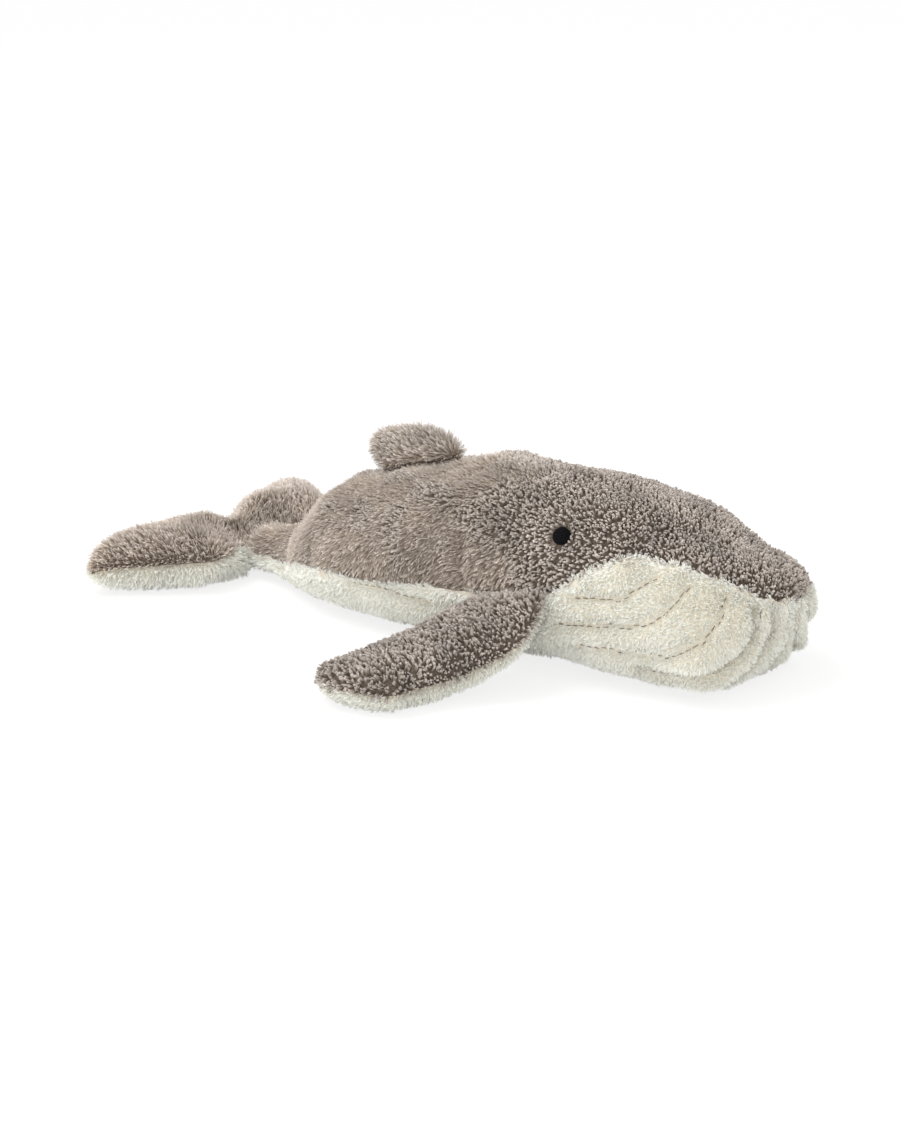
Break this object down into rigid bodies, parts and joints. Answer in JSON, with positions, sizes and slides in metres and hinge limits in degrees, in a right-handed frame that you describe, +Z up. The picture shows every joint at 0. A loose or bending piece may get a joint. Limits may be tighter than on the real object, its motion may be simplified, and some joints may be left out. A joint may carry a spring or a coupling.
{
  "type": "plush whale",
  "caption": "Stuffed plush whale with a pleated cream throat and belly, grey back, sewn-on flippers, tail fluke and back fin that flex at their seams.",
  "frame": {"origin": "middle of the bounding box in plan, on the surface that the toy rests on", "axes": "+X along the body towards the nose, +Y to the whale's left, +Z up"},
  "size_m": [0.4144, 0.3312, 0.1002],
  "materials": {
    "grey_plush": "long combed taupe grey pile, matt",
    "cream_plush": "curly ivory pile, matt",
    "fibre_filling": "loose white polyester fibre",
    "black_thread": "black satin stitch",
    "brown_thread": "brown polyester sewing thread"
  },
  "bodies": {
    "torso": {"back_left_panel": "grey_plush", "back_right_panel": "grey_plush", "belly_panel": "cream_plush", "body_stuffing": "fibre_filling", "left_eye": "black_thread", "right_eye": "black_thread", "throat_stitches_1_left": "brown_thread", "throat_stitches_1_right": "brown_thread", "throat_stitches_2_left": "brown_thread", "throat_stitches_2_right": "brown_thread", "throat_stitches_3_left": "brown_thread", "throat_stitches_3_right": "brown_thread", "throat_stitches_4_left": "brown_thread", "throat_stitches_4_right": "brown_thread", "throat_stitches_5_left": "brown_thread", "throat_stitches_5_right": "brown_thread", "closing_stitches": "brown_thread", "left_flipper_seam_thread": "brown_thread", "right_flipper_seam_thread": "brown_thread", "fluke_seam_thread": "brown_thread", "dorsal_fin_seam_thread": "brown_thread"},
    "left_flipper": {"left_flipper_top_panel": "grey_plush", "left_flipper_bottom_panel": "cream_plush", "left_flipper_stuffing": "fibre_filling"},
    "right_flipper": {"right_flipper_top_panel": "grey_plush", "right_flipper_bottom_panel": "cream_plush", "right_flipper_stuffing": "fibre_filling"},
    "fluke": {"fluke_top_panel": "grey_plush", "fluke_bottom_panel": "cream_plush", "fluke_stuffing": "fibre_filling"},
    "dorsal_fin": {"dorsal_fin_left_panel": "grey_plush", "dorsal_fin_right_panel": "grey_plush", "dorsal_fin_stuffing": "fibre_filling"}
  },
  "joints": [
    {"name": "left_flipper_hinge", "type": "hinge", "parent": "torso", "child": "left_flipper", "pos_m": [0.07017, 0.0658, 0.041], "axis": [0.976, 0.0049, 0.2177], "range_deg": [-25, 70]},
    {"name": "right_flipper_hinge", "type": "hinge", "parent": "torso", "child": "right_flipper", "pos_m": [0.07017, -0.0658, 0.041], "axis": [-0.976, 0.0049, -0.2177], "range_deg": [-25, 70]},
    {"name": "fluke_hinge", "type": "hinge", "parent": "torso", "child": "fluke", "pos_m": [-0.14925, 0, 0.01386], "axis": [0, 1, 0], "range_deg": [-40, 45]},
    {"name": "dorsal_fin_hinge", "type": "hinge", "parent": "torso", "child": "dorsal_fin", "pos_m": [-0.03378, 0, 0.08449], "axis": [0.9672, 0, 0.2539], "range_deg": [0, 120]}
  ]
}
